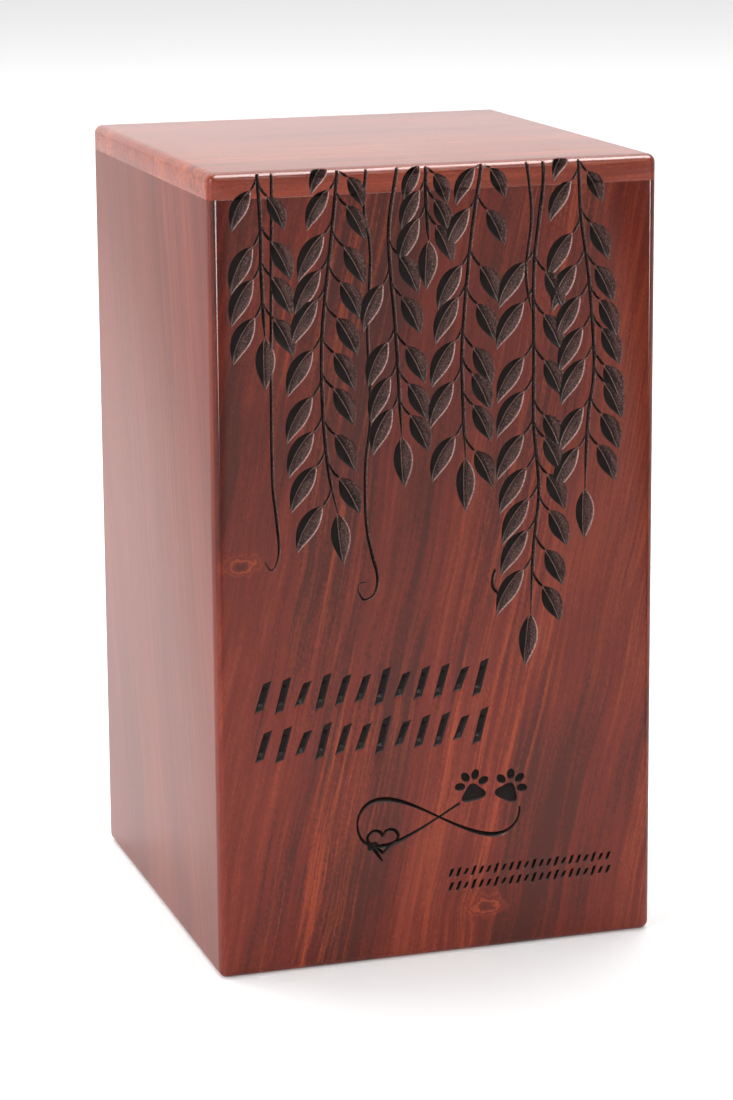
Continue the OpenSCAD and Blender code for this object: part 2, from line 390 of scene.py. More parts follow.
@dataclass
class Carving:
    """Everything cut into the front, laid out from the box's size and a few named sizes."""

    width: float
    height: float
    margin: float = 6
    field_half: float = 74
    leaf_w: float = 7
    leaf_fall: tuple[float, float] = (16, 13.44)
    leaf_bow: tuple[float, float] = (2.6, 1.6)
    stalk_drop: float = 6
    stalk_share: tuple[float, float] = (0.26, 0.36)
    stalk_w: float = 1.0
    stem_w: float = 1.5
    young_drop: float = 36
    young_share: float = 0.68
    loop_z: float = 50.5
    loop_reach: float = 30
    loop_rise: float = 8.5
    loop_w: float = 1.7
    heart_half_w: float = 0.6
    paw_w: float = 12
    large_margin: float = 13
    large_l: float = 86
    small_margin: float = 15
    small_l: float = 62
    stroke_pitch: float = 1.9
    stroke_spread: float = 0.18
    stroke_turn: float = 137
    leaf_belly: float = 0.43
    shoulder_power: float = 0.92
    tip_power: float = 1.22
    leaves: list[Cut] = field(default_factory=list)
    grooves: list[Cut] = field(default_factory=list)
    marks: list[Cut] = field(default_factory=list)

    def on_front(self, across: float, points: Array) -> Array:
        """Points given as [sideways, drop] from a vine's place, as places on the front."""
        scale = (self.width / 2 - self.margin) / self.field_half
        return np.stack([across * scale + points[..., 0], self.height - points[..., 1]], axis=-1)

    def growth(self, drop: float) -> float:
        """How much of its full size a leaf has at a given drop."""
        return min(1, self.young_share + (1 - self.young_share) * drop / self.young_drop)

    def leaf_half(self, t: Array) -> Array:
        """Half a leaf's width along it: it swells from its base, then draws out to a tip."""
        rest = (1 - t) / (1 - self.leaf_belly)
        return self.leaf_w / 2 * (t / self.leaf_belly) ** self.shoulder_power * rest**self.tip_power

    def add_leaf(self, base: Array, tip: Array, bow: float, size: float) -> None:
        """Adds one leaf from its base to its tip, its middle bowed sideways."""
        run = tip - base
        middle = (base + tip) / 2 + np.array([-run[1], run[0]]) / np.linalg.norm(run) * bow
        t = np.linspace(0, 1, 31)
        line = bend(base, middle, tip, t)
        self.leaves.append(LeafCut(CutKind.LEAF, line, size * self.leaf_half(t)))

    def add_groove(self, line: Array, width: float, spacing: float = 0.8) -> None:
        """Adds a groove along a line, thinning to a point over its last part."""
        line = resample(line, spacing)
        share = np.linspace(0, 1, len(line))
        half = width / 2 * (0.35 + 0.65 * rise((1 - share) * 8))
        self.grooves.append(Cut(CutKind.GROOVE, line, half))

    def add_vine(self, vine: Vine) -> None:
        """Adds a vine's stem, then each leaf with its stalk, the lowest leaf first."""
        stem = smooth(vine.stem, 8)
        self.add_groove(self.on_front(vine.across, stem), self.stem_w)
        if vine.end is not None:
            tip = self.on_front(vine.across, np.array(vine.end, float))
            self.add_leaf(self.on_front(vine.across, stem[-1]), tip, 0, 1)
        tips = [(drop, -1) for drop in vine.left] + [(drop, 1) for drop in vine.right]
        for drop, side in sorted(tips, reverse=True):
            size, hand = self.growth(drop), (side + 1) // 2
            base_drop = drop - size * self.leaf_fall[hand]
            fork = max(0, base_drop - size * self.stalk_drop)
            at = float(np.interp(fork, stem[:, 1], stem[:, 0]))
            out = side * size * vine.reach[hand]
            base_out = out * self.stalk_share[hand]
            spots = np.array([[at, fork], [at + base_out, base_drop], [at + out, drop]])
            start, base, tip = self.on_front(vine.across, spots)
            knee = start + (base - start) * np.array([0.3, 0.6])
            self.add_groove(bend(start, knee, base, np.linspace(0, 1, 12)), self.stalk_w)
            self.add_leaf(base, tip, side * self.leaf_bow[hand], size)

    def add_strokes(self, panel: StrokePanel, z: float) -> None:
        """Adds a row of slanted strokes, each pointed at both ends and none a letter.

        Args:
            panel: The panel that the row belongs to.
            z: The height of the row's middle.
        """
        w, length = panel.stroke_w, panel.stop - panel.start
        count = int(length / (w * self.stroke_pitch))
        for i in range(count):
            x = panel.start + length * (i + 0.5) / count
            short = self.stroke_spread * (1 - math.sin(math.radians(i * self.stroke_turn)))
            half = panel.stroke_h / 2 * (1 - short)
            near, lean = half * 0.82, w * 0.9
            corners = [[x - lean, z - half], [x, z - near], [x + lean, z + half], [x, z + near]]
            ring = resample(np.array(corners + corners[:1], float), 0.5)[:-1]
            half_w = np.array([w * 0.42])
            self.marks.append(Region(CutKind.MARK, ring, half_w, deepest=1.15, wall_run=w * 0.3))

    def add_pad(self, centre: Array, rx: float, ry: float, turn: float) -> None:
        """Adds an oval hollow with the given half sizes, turned by an angle in degrees."""
        a = np.linspace(0, 2 * math.pi, 29)[:-1]
        ring = beside(rx * np.cos(a), ry * np.sin(a)) @ spin(turn)
        self.marks.append(Region(CutKind.MARK, ring + centre, np.array([min(rx, ry)])))

    def add_paw(self, centre: Array, turn: float) -> None:
        """Adds a paw print: four toes around one pad, an oval drawn out to three soft corners."""
        w = self.paw_w
        for a in (164, 114, 66, 16):
            toe = spin(a)[0] * w * 0.38
            self.add_pad(centre + toe @ spin(turn), w * 0.12, w * 0.165, turn + a - 90)
        a = np.radians(np.arange(0, 360, 5))
        swell = 1 + 0.11 * np.cos(3 * (a + math.pi / 6))
        pad = beside(w * 0.34 * np.cos(a) * swell, w * 0.27 * np.sin(a) * swell)
        pad[:, 0] *= 1 - 0.22 * np.sin(a)
        ring = (pad + np.array([0, -w * 0.19])) @ spin(turn) + centre
        self.marks.append(Region(CutKind.MARK, ring, np.array([w * 0.18])))

    def add_loop(self) -> None:
        """Adds the endless loop, the two paws, and the heart with its knot and tail.

        The loop goes sideways as a cosine and up and down as a sine twice as fast. A heart's half
        goes sideways as a sine cubed, and up and down as a sum of four cosines.
        """
        reach, rise_z, z = self.loop_reach, self.loop_rise, self.loop_z
        a = np.radians(np.arange(-3, 286, 3.0))
        line = beside(reach * np.cos(a), z - rise_z * np.sin(2 * a))
        half = self.loop_w / 2 * (0.5 + 0.6 * np.sin(2 * a) ** 2)
        self.marks.append(Cut(CutKind.MARK, line, half))
        w = reach * 0.4 / 34
        place = np.array([-reach * 0.69, z - rise_z * 0.75])
        a = np.radians(np.arange(0, 181, 6.0))
        for side in (-1, 1):
            y = 11 * np.cos(a) - 4 * np.cos(2 * a) - 2 * np.cos(3 * a) - np.cos(4 * a)
            lobe = beside(side * 16 * np.sin(a) ** 3, y) * w
            lobe = resample(lobe + place, 0.45)
            self.marks.append(Cut(CutKind.MARK, lobe, np.full(len(lobe), self.heart_half_w)))
        tie = place + np.array([-3.8, -1.8])
        self.add_pad(tie, 2.1, 1.5, 30)
        tail = resample(smooth((tie, tie + [1.4, -2.4], tie + [3.6, -5.8]), 6), 0.5)
        self.marks.append(Cut(CutKind.MARK, tail, np.linspace(0.9, 0.35, len(tail))))
        self.add_paw(np.array([reach * 0.41, z + rise_z * 1.14]), 10)
        self.add_paw(np.array([reach * 0.88, z + rise_z]), -27)

    def lay_out(self) -> None:
        """Lays out the vines, the tendrils, the stroke rows, the loop and the paws."""
        for vine in VINES:
            self.add_vine(vine)
        for tendril in TENDRILS:
            line = self.on_front(tendril.across, smooth(tendril.stem, 8))
            self.add_groove(line, self.stem_w * 0.85)
        left, right = -self.width / 2 + self.large_margin, self.width / 2 - self.small_margin
        large = StrokePanel(left, left + self.large_l, 91, 17.5, stroke_h=14, stroke_w=3.64)
        small = StrokePanel(right - self.small_l, right, 27, 5, stroke_h=4, stroke_w=1.44)
        for row in (-0.5, 0.5):
            for panel in (large, small):
                self.add_strokes(panel, panel.middle + row * panel.row_gap)
        self.add_loop()

    def cuts(self) -> list[Cut]:
        """Every cut, in the order it is made."""
        return self.grooves + self.leaves + self.marks


# ---- Meshes ----


@dataclass
class Relief:
    """A carved face: its points in 3-D, its triangles, and what each triangle belongs to."""

    points: Array
    faces: Array
    kinds: Array
    marks: Array
    rim: Array


@dataclass(frozen=True)
class BoardFace:
    """The outer face of a board before carving, seen square on, with its rounded edges.

    The face is flat at y = -reach and rounds over by `radius` past x = +-inner_x and past
    z = inner_z. `up` is 1 where the rounded edge is the top one and -1 where it is the bottom one.
    """

    reach: float
    inner_x: float
    inner_z: float
    joint_z: float
    up: int
    side_turn: float
    radius: float = 3
    ease: float = 0.12

    def past(self, p: Array) -> tuple[Array, Array]:
        """How far each point lies beyond the flat part, sideways and up or down."""
        return (
            np.maximum(np.abs(p[:, 0]) - self.inner_x, 0),
            np.maximum((p[:, 1] - self.inner_z) * self.up, 0),
        )

    def surface(self, p: Array) -> Array:
        """The y of the uncarved face at each [x, z]."""
        dx, dz = self.past(p)
        fall = self.radius - np.sqrt(np.maximum(self.radius**2 - dx**2 - dz**2, 0))
        near = np.clip(self.ease - np.abs(p[:, 1] - self.joint_z), 0, self.ease)
        eased = self.ease - np.sqrt(np.maximum(self.ease**2 - near**2, 0))
        return -self.reach + np.maximum(fall, eased)

    def side_at(self, s: float, turn: float) -> Array:
        """A point of the rounded corner: `s` beyond the flat part, at an angle from sideways."""
        return np.array([self.inner_x + s * math.cos(turn), self.inner_z + self.up * s * math.sin(turn)])

    def contour(self, s: float) -> Array:
        """The line on the face that lies `s` beyond its flat part, from one side to the other."""
        widest = self.radius * math.sin(self.side_turn)
        if s <= widest + 1e-9:
            start, turns = [np.array([self.inner_x + s, self.joint_z])], np.linspace(0, math.pi / 2, 7)
        else:
            start = []
            first = math.acos(min(1, math.sqrt(max(self.radius**2 / s**2 - 1, 0))))
            turns = np.linspace(first, math.pi / 2, 5)
        right = np.array(start + [self.side_at(s, a) for a in turns])
        return np.vstack([right, (right * [-1, 1])[::-1]])

    def steps(self) -> Array:
        """The distances beyond the flat part at which the rounded edge needs points."""
        a = np.linspace(0, math.pi / 2, 11)
        return self.radius * np.sin(a)

    def outline(self) -> Array:
        """The edge of the face, anticlockwise seen from outside."""
        if self.side_turn > 1.5:
            return self.contour(self.radius)
        widest = self.radius * math.sin(self.side_turn)
        corner = [self.contour(s)[0] for s in self.steps() if s > widest + 1e-6]
        x = self.inner_x + widest
        right = np.array([[x, self.joint_z], [x, self.inner_z]] + corner)
        right[-1] = [self.inner_x, self.inner_z + self.up * self.radius]
        return np.vstack([right, (right * [-1, 1])[::-1]])


def inside(ring: Array, points: Array) -> Array:
    """Whether each point is inside a closed ring that bulges outward everywhere."""
    edge = np.roll(ring, -1, axis=0) - ring
    turn = np.sign(np.sum(ring[:, 0] * np.roll(ring[:, 1], -1) - ring[:, 1] * np.roll(ring[:, 0], -1)))
    good = np.ones(len(points), bool)
    for a, d in zip(ring, edge):
        good &= turn * (d[0] * (points[:, 1] - a[1]) - d[1] * (points[:, 0] - a[0])) > -1e-6
    return good


def plan(face: BoardFace, cuts: Sequence[Cut]) -> tuple[Array, Array, list[Cut]]:
    """Lays points on every ridge, wall and rounded edge of a face and joins them.

    Args:
        face: The uncarved face.
        cuts: The cuts to make.

    Returns:
        The points as [x, z], the triangles, and the cuts that reach this face.
    """
    ring = face.outline()
    spare = 1.5
    low, high = ring.min(0) - spare, ring.max(0) + spare
    points: list[Array] = []
    edges: list[Array] = []
    total = 0

    def add(line: Array, joined: bool = True, closed: bool = False) -> None:
        """Adds a line's points and, where it is joined, its edges."""
        nonlocal total
        points.append(line)
        if joined:
            at = np.arange(len(line)) + total
            pairs = beside(at, np.roll(at, -1))
            edges.append(pairs if closed else pairs[:-1])
        total += len(line)

    add(ring, closed=True)
    for s in face.steps()[:-1]:
        add(face.contour(float(s)))
    for off in (0.3, 0.62, 0.85):
        z = face.joint_z + face.up * face.ease * (1 - off)
        add(np.array([[face.inner_x, z], [-face.inner_x, z]]))
    used = []
    for cut in cuts:
        a, b = cut.box()
        if (a > high).any() or (b < low).any():
            continue
        grid = cut.grid()
        closed = isinstance(cut, Region)
        near = ((grid > low) & (grid < high)).all(-1).any(1)
        if not near.any():
            continue
        used.append(cut)
        if not near.all():
            run = np.flatnonzero(near)
            grid = grid[max(run[0] - 1, 0) : run[-1] + 2]
        ridges = {0} if closed else {0, grid.shape[1] - 1, grid.shape[1] // 2}
        for k in range(grid.shape[1]):
            add(grid[:, k], joined=k in ridges, closed=closed)
    spots = [Vector(p) for p in np.vstack(points).tolist()]
    joins = [tuple(e) for e in np.vstack(edges).tolist()]
    made = delaunay_2d_cdt(spots, joins, [], 0, WELD, False)
    plane = np.array([v[:] for v in made[0]], float)
    tris = np.array(made[2], int)
    tris = tris[inside(ring, plane[tris].mean(1))]
    kept, tris = np.unique(tris, return_inverse=True)
    plane, tris = plane[kept], tris.reshape(-1, 3)
    a, b, c = (plane[tris[:, k]] for k in range(3))
    turn = (b[:, 0] - a[:, 0]) * (c[:, 1] - a[:, 1]) - (b[:, 1] - a[:, 1]) * (c[:, 0] - a[:, 0])
    tris[turn < 0] = tris[turn < 0][:, ::-1]
    return np.clip(plane, ring.min(0), ring.max(0)), tris, used


def carve(face: BoardFace, cuts: Sequence[Cut]) -> Relief:
    """Cuts a board's outer face, as deep at each point as the deepest cut there.

    Args:
        face: The uncarved face.
        cuts: The cuts to make; only the parts of them on this face are kept.

    Returns:
        The face as a relief, deeper than the uncarved face wherever a cut reaches.
    """
    shallowest, grain_step = 0.012, 7.3
    plane, tris, used = plan(face, cuts)
    top = face.surface(plane)
    depth = np.zeros(len(plane))
    centre = plane[tris].mean(1)
    centre_depth = np.full(len(tris), shallowest)
    owner = np.full(len(tris), -1)
    for i, cut in enumerate(used):
        a, b = cut.box()
        near = np.flatnonzero(((plane > a) & (plane < b)).all(1))
        near = near[cut.holds(plane[near])]
        depth[near] = np.maximum(depth[near], cut.depth(plane[near]))
        near = np.flatnonzero(((centre > a) & (centre < b)).all(1))
        near = near[cut.holds(centre[near])]
        deep = cut.depth(centre[near])
        better = deep > centre_depth[near]
        centre_depth[near[better]] = deep[better]
        owner[near[better]] = i
    y = np.maximum(top, -face.reach + depth)
    owner[face.surface(centre) > -face.reach + centre_depth] = -1
    kinds = np.zeros(len(tris), int)
    marks = np.zeros((len(tris), 3, 2))
    edges_off = np.ones((len(tris), 3, 2))
    for i, cut in enumerate(used):
        mine = np.flatnonzero(owner == i)
        if len(mine) == 0:
            continue
        kinds[mine] = cut.kind.value
        corners = plane[tris[mine]].reshape(-1, 2)
        share, off, half = cut.place(corners)
        run = np.linalg.norm(np.diff(cut.line, axis=0), axis=1).sum()
        along = share * run + i * grain_step
        marks[mine] = beside(off + cut.shift, along).reshape(-1, 3, 2)
        # How far each spot faces the light, kept in the edge map, from which the carved wood paints its
        # light and shade.
        lit = cut.facing(share) * np.clip(off / np.maximum(half, 1e-6), -1, 1)
        edges_off[mine] = beside(np.abs(half) - np.abs(off), lit).reshape(-1, 3, 2)
    plain = owner < 0
    marks[plain] = plane[tris[plain]]
    solid = beside(plane[:, 0], y, plane[:, 1])
    return Relief(solid, tris, kinds, np.concatenate([marks, edges_off], axis=2), border(tris))


def border(tris: Array) -> Array:
    """The points around the open edge of a sheet of triangles, in order."""
    sides = np.vstack([tris[:, [0, 1]], tris[:, [1, 2]], tris[:, [2, 0]]])
    code = np.sort(sides, axis=1)
    _, back, count = np.unique(code, axis=0, return_inverse=True, return_counts=True)
    open_sides = sides[count[back.ravel()] == 1]
    following = dict(open_sides.tolist())
    ring = [int(open_sides[0, 0])]
    while following[ring[-1]] != ring[0]:
        ring.append(following[ring[-1]])
    return np.array(ring)


@dataclass
class Shell:
    """A closed piece as it is put together from sheets and bands of triangles."""

    points: list[Array] = field(default_factory=list)
    faces: list[Array] = field(default_factory=list)
    kinds: list[Array] = field(default_factory=list)
    marks: list[Array] = field(default_factory=list)
    total: int = 0

    def sheet(
        self, points: Array, faces: Array, kinds: Array | None = None, marks: Array | None = None
    ) -> None:
        """Adds triangles with their own points."""
        self.points.append(points)
        self.faces.append(faces + self.total)
        self.kinds.append(np.zeros(len(faces), int) if kinds is None else kinds)
        self.marks.append(points[faces][..., [0, 2, 0, 2]] if marks is None else marks)
        self.total += len(points)

    def band(self, first: Array, second: Array, closed: bool = True) -> None:
        """Joins two lines of equally many points with a band of triangles."""
        n = len(first)
        i = np.arange(n if closed else n - 1)
        j = (i + 1) % n
        faces = np.vstack([beside(j, i, i + n), beside(j, i + n, j + n)])
        self.sheet(np.vstack([first, second]), faces)

    def fan(self, ring: Array, first: bool = False) -> None:
        """Fills a flat ring with triangles around its middle.

        Args:
            ring: Its points.
            first: Whether the bands start from this ring rather than end at it.
        """
        n = len(ring)
        i = np.arange(n)
        middle = (ring.min(0) + ring.max(0)) / 2
        faces = beside((i + 1) % n, i, np.full(n, n))
        self.sheet(np.vstack([ring, middle]), faces[:, ::-1] if first else faces)

    def mesh(self, name: str, turn: float = 0) -> bpy.types.Mesh:
        """Welds everything into one closed mesh whose faces look outward.

        Args:
            name: The mesh's name.
            turn: A turn about the vertical, in degrees, put into the points.

        Returns:
            The mesh, with sharp edges where surfaces meet and the UV maps `grain` and `edge`.
        """
        points, faces = np.vstack(self.points), np.vstack(self.faces)
        kinds, marks = np.concatenate(self.kinds), np.vstack(self.marks)
        cell = np.round(points / WELD).astype(int)
        _, first, back = np.unique(cell, axis=0, return_index=True, return_inverse=True)
        points, faces = points[first], back.ravel()[faces]
        good = (faces[:, 0] != faces[:, 1]) & (faces[:, 1] != faces[:, 2]) & (faces[:, 2] != faces[:, 0])
        faces, kinds, marks = faces[good], kinds[good], marks[good]
        a, b, c = (points[faces[:, k]] for k in range(3))
        if np.einsum("ij,ij->i", a, np.cross(b, c)).sum() < 0:
            faces, marks = faces[:, ::-1], marks[:, ::-1]
        points[:, :2] = points[:, :2] @ spin(turn)
        points = points * MM
        mesh = bpy.data.meshes.new(name)
        mesh.vertices.add(len(points))
        mesh.vertices.foreach_set("co", points.ravel())
        mesh.loops.add(faces.size)
        mesh.loops.foreach_set("vertex_index", faces.ravel())
        mesh.polygons.add(len(faces))
        mesh.polygons.foreach_set("loop_start", np.arange(0, faces.size, 3))
        mesh.update(calc_edges=True)
        mesh.polygons.foreach_set("material_index", np.array([0, 1, 1, 2])[kinds])
        mesh.polygons.foreach_set("use_smooth", np.ones(len(faces), bool))
        mesh.uv_layers.new(name="grain").data.foreach_set("uv", (marks[..., :2] * MM).ravel())
        mesh.uv_layers.new(name="edge").data.foreach_set("uv", (marks[..., 2:] * [MM, 1]).ravel())
        self.sharpen(mesh, points, faces, kinds)
        if mesh.validate():
            raise ValueError(f"{name}: the mesh was faulty")
        return mesh

    @staticmethod
    def sharpen(mesh: bpy.types.Mesh, points: Array, faces: Array, kinds: Array) -> None:
        """Marks edges sharp where faces turn by over SHARP_TURN or a cut meets plain wood."""
        loop_edge = np.zeros(faces.size, np.int32)
        mesh.loops.foreach_get("edge_index", loop_edge)
        order = np.argsort(loop_edge, kind="stable")
        count = np.bincount(loop_edge, minlength=len(mesh.edges))
        if not (count == 2).all():
            LOG.warning("%s: %d edges do not join two faces", mesh.name, int((count != 2).sum()))
        start = np.concatenate([[0], np.cumsum(count)])[:-1]
        first, second = order[start] // 3, order[start + np.minimum(count, 2) - 1] // 3
        a, b, c = (points[faces[:, k]] for k in range(3))
        normal = np.cross(b - a, c - a)
        normal /= np.maximum(np.linalg.norm(normal, axis=1, keepdims=True), 1e-20)
        dot = np.einsum("ij,ij->i", normal[first], normal[second])
        sharp = (dot < math.cos(math.radians(SHARP_TURN))) | ((kinds[first] == 0) != (kinds[second] == 0))
        mesh.attributes.new("sharp_edge", "BOOLEAN", "EDGE").data.foreach_set("value", sharp)


# ---- The box ----


class Side(Enum):
    """Which wall a board is: the turn that brings it there from the front, in degrees."""

    FRONT = 0
    LEFT = -90
    BACK = 180
    RIGHT = 90


@dataclass(frozen=True)
class Sizes:
    """The box's sizes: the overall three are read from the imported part, the rest match it."""

    width: float
    depth: float
    height: float
    wall: float = 12
    base: float = 12
    lid: float = 9
    step: float = 5
    gap: float = 0.5
    edge: float = 3

    @property
    def joint(self) -> float:
        """The height of the joint under the lid."""
        return self.height - self.lid


@dataclass
class WallBoard:
    """One wall, mitred at both ends, its outer face carved with any cuts given."""

    name: str
    side: Side
    sizes: Sizes
    cuts: Sequence[Cut] = ()

    def shell(self) -> Shell:
        """The board as a shell, seen as if it were the front one."""
        s = self.sizes
        faces_y = self.side in (Side.FRONT, Side.BACK)
        along, reach = (s.width, s.depth) if faces_y else (s.depth, s.width)
        face = BoardFace(reach / 2, along / 2 - s.edge, s.edge, s.joint, -1, math.pi / 4, s.edge)
        relief = carve(face, self.cuts)
        shell = Shell()
        shell.sheet(relief.points, relief.faces, relief.kinds, relief.marks)
        ring = relief.points[relief.rim]
        inner = along / 2 - s.wall
        x = ring[:, 0]
        mitred = np.clip(x * inner / face.inner_x, -inner, inner)
        back = beside(mitred, np.full(len(ring), s.wall - reach / 2), ring[:, 2])
        low = back[:, 2] < s.edge
        back[low & (np.abs(x) < face.inner_x + 1e-6), 2] = 0
        shell.band(ring, back)
        shell.fan(back)
        return shell

    def build(self) -> bpy.types.Mesh:
        """The board's mesh in its own place."""
        return self.shell().mesh(self.name, self.side.value)


@dataclass
class Lid:
    """The lid: a slab with rounded edges and a lower step that drops between the walls."""

    name: str
    sizes: Sizes
    cuts: Sequence[Cut] = ()

    def build(self) -> bpy.types.Mesh:
        """The lid's mesh: carved front, straight middle, rounded back, then the step below."""
        s = self.sizes
        flat_x, flat_z, flat_y = s.width / 2 - s.edge, s.height - s.edge, s.depth / 2 - s.edge
        face = BoardFace(s.depth / 2, flat_x, flat_z, s.joint, 1, math.pi / 2, s.edge)
        relief = carve(face, self.cuts)
        rim = relief.points[relief.rim]
        turned = (np.abs(rim[:, 2] - s.joint) > 1e-4) | (np.abs(rim[:, 0]) > s.width / 2 - 1e-3)
        relief.points[relief.rim[turned], 1] = -flat_y
        shell = Shell()
        shell.sheet(relief.points, relief.faces, relief.kinds, relief.marks)
        ring = relief.points[relief.rim]
        low = np.abs(ring[:, 2] - s.joint) < 1e-4
        start = int(np.flatnonzero(low & (np.abs(ring[:, 0] - s.width / 2) < 1e-3))[0])
        ring = np.roll(ring, -start, axis=0)
        low = np.abs(ring[:, 2] - s.joint) < 1e-4
        last = int(np.flatnonzero(low & (ring[:, 0] < 0) & (np.abs(ring[:, 0] + s.width / 2) < 1e-3))[0])
        over, under = ring[: last + 1], np.vstack([ring[last:], ring[:1]])
        over = beside(over[:, 0], np.full(len(over), -flat_y), over[:, 2])
        core_x, core_z = np.clip(over[:, 0], -flat_x, flat_x), np.minimum(over[:, 2], flat_z)
        core = beside(core_x, over[:, 1], core_z)
        rows = [over, over * [1, -1, 1]]
        for a in np.linspace(0, math.pi / 2, 9)[1:]:
            row = core + (over - core) * math.cos(a)
            row[:, 1] = flat_y + s.edge * math.sin(a)
            rows.append(row)
        for first, second in zip(rows, rows[1:]):
            shell.band(first, second, closed=False)
        right = np.array([row[0] for row in rows])
        left = np.array([row[-1] for row in rows])
        behind = np.linspace(right[-1], left[-1], 9)
        shell.fan(np.vstack([rows[-1], behind[-2:0:-1]]))
        outer = np.vstack([right[:-1], behind[:-1], left[::-1][:-1], under[:-1]])
        half_x, half_y = s.width / 2 - s.wall - s.gap, s.depth / 2 - s.wall - s.gap
        inner = np.clip(outer, [-half_x, -half_y, -np.inf], [half_x, half_y, np.inf])
        shell.band(outer, inner)
        bottom = inner - [0, 0, s.step]
        shell.band(inner, bottom)
        shell.fan(bottom)
        return shell.mesh(self.name)


@dataclass
class BaseBoard:
    """The bottom board, set between the walls, its lower edge eased a little."""

    name: str
    sizes: Sizes
    ease: float = 0.4

    def build(self) -> bpy.types.Mesh:
        """The board's mesh."""
        s = self.sizes
        x, y = s.width / 2 - s.wall, s.depth / 2 - s.wall
        ring = np.array([[x, -y, 0], [x, y, 0], [-x, y, 0], [-x, -y, 0]])
        small = ring * (1 - self.ease / np.array([x, y, 1]) * [1, 1, 0])
        shell = Shell()
        levels = [small, ring + [0, 0, self.ease], ring + [0, 0, s.base]]
        shell.fan(levels[0], first=True)
        for first, second in zip(levels, levels[1:]):
            shell.band(first, second)
        shell.fan(levels[-1])
        return shell.mesh(self.name)


# ---- Finishes ----


Socket = bpy.types.NodeSocket


class Graph:
    """A material's nodes, added one at a time and joined by name."""

    def __init__(self, name: str) -> None:
        self.material = bpy.data.materials.new(name)
        self.material.use_nodes = True
        self.tree = self.material.node_tree
        self.shader = self.tree.nodes["Principled BSDF"]

    def node(
        self, kind: str, inputs: dict[str | int, object] | None = None, **settings: object
    ) -> bpy.types.Node:
        """Adds a node.

        Args:
            kind: The node's type, such as "ShaderNodeMath".
            inputs: Values or sockets for its inputs, by name or number.
            settings: Its other settings.

        Returns:
            The node.
        """
        node = self.tree.nodes.new(kind)
        for key, value in settings.items():
            setattr(node, key, value)
        for key, value in (inputs or {}).items():
            self.put(node.inputs[key], value)
        return node

    def put(self, socket: Socket, value: object) -> None:
        """Joins a socket to another, or sets its value."""
        if isinstance(value, Socket):
            self.tree.links.new(value, socket)
        else:
            socket.default_value = value

    def sum(self, operation: str, *values: object) -> Socket:
        """One arithmetic step on numbers or sockets."""
        return self.node("ShaderNodeMath", dict(enumerate(values)), operation=operation).outputs[0]

    def times(self, first: object, second: object) -> Socket:
        """One number or socket times another."""
        return self.sum("MULTIPLY", first, second)

    def plus(self, first: object, second: object) -> Socket:
        """One number or socket plus another."""
        return self.sum("ADD", first, second)

    def scaled(self, value: object, share: float, start: float) -> Socket:
        """A value times a share, plus a start."""
        return self.sum("MULTIPLY_ADD", value, share, start)

    def finish(self, **values: object) -> bpy.types.Material:
        """Sets the shader's inputs, each named with _ for its spaces, and gives the material."""
        for name, value in values.items():
            self.put(self.shader.inputs[name.replace("_", " ")], value)
        return self.material

    def noise(self, vector: object, scale: float, detail: float, rough: float = 0.55) -> Socket:
        """Smooth noise between 0 and 1 at a place."""
        inputs = {"Vector": vector, "Scale": scale, "Detail": detail, "Roughness": rough}
        return self.node("ShaderNodeTexNoise", inputs).outputs[0]

    def fade(
        self, value: object, low: float, high: float, start: float = 0, stop: float = 1
    ) -> Socket:
        """Carries a value from [low, high] to [start, stop] and holds it at the ends."""
        inputs = {"Value": value, "From Min": low, "From Max": high, "To Min": start, "To Max": stop}
        return self.node("ShaderNodeMapRange", inputs, interpolation_type="SMOOTHSTEP").outputs[0]

    def blend(self, share: object, first: object, second: object, how: str = "MIX") -> Socket:
        """Mixes two colours by a share."""
        node = self.node("ShaderNodeMix", data_type="RGBA", blend_type=how)
        for socket, value in zip((node.inputs[0], node.inputs[6], node.inputs[7]), (share, first, second)):
            self.put(socket, value)
        return node.outputs[2]

    def vector(self, x: object, y: object, z: object) -> Socket:
        """Three numbers as one vector."""
        return self.node("ShaderNodeCombineXYZ", {0: x, 1: y, 2: z}).outputs[0]

    def place(self) -> tuple[Socket, ...]:
        """The place on the piece as x, y and z, in metres."""
        at = self.node("ShaderNodeTexCoord").outputs["Object"]
        return tuple(self.node("ShaderNodeSeparateXYZ", {0: at}).outputs)


def colour(text: str) -> tuple[float, float, float, float]:
    """A colour as the renderer wants it, from its six-digit screen value."""
    parts = [int(text[i : i + 2], 16) / 255 for i in (0, 2, 4)]
    linear = [p / 12.92 if p <= 0.04045 else ((p + 0.055) / 1.055) ** 2.4 for p in parts]
    return (*linear, 1.0)


@dataclass(frozen=True)
class Knot:
    """A knot in the front: its place and half size in millimetres."""

    x: float
    z: float
    half_x: float
    half_z: float


@dataclass(frozen=True)
class Stain:
    """The colours and gloss of the stained wood."""

    body: str = "6b261b"
    dark: str = "4a1e17"
    light: str = "813524"
    glow: str = "a04526"
    gloss: float = 0.26
    ior: float = 1.33


KNOTS = (Knot(-70.3, 146.6, 6.5, 3.4), Knot(17.5, 16, 6, 4))


class Grain(Enum):
    """How the wood lies: the axes along its fibres, across its face and through it."""

    FRONT = (2, 0, 1)
    SIDE = (2, 1, 0)
    LEVEL = (0, 2, 1)


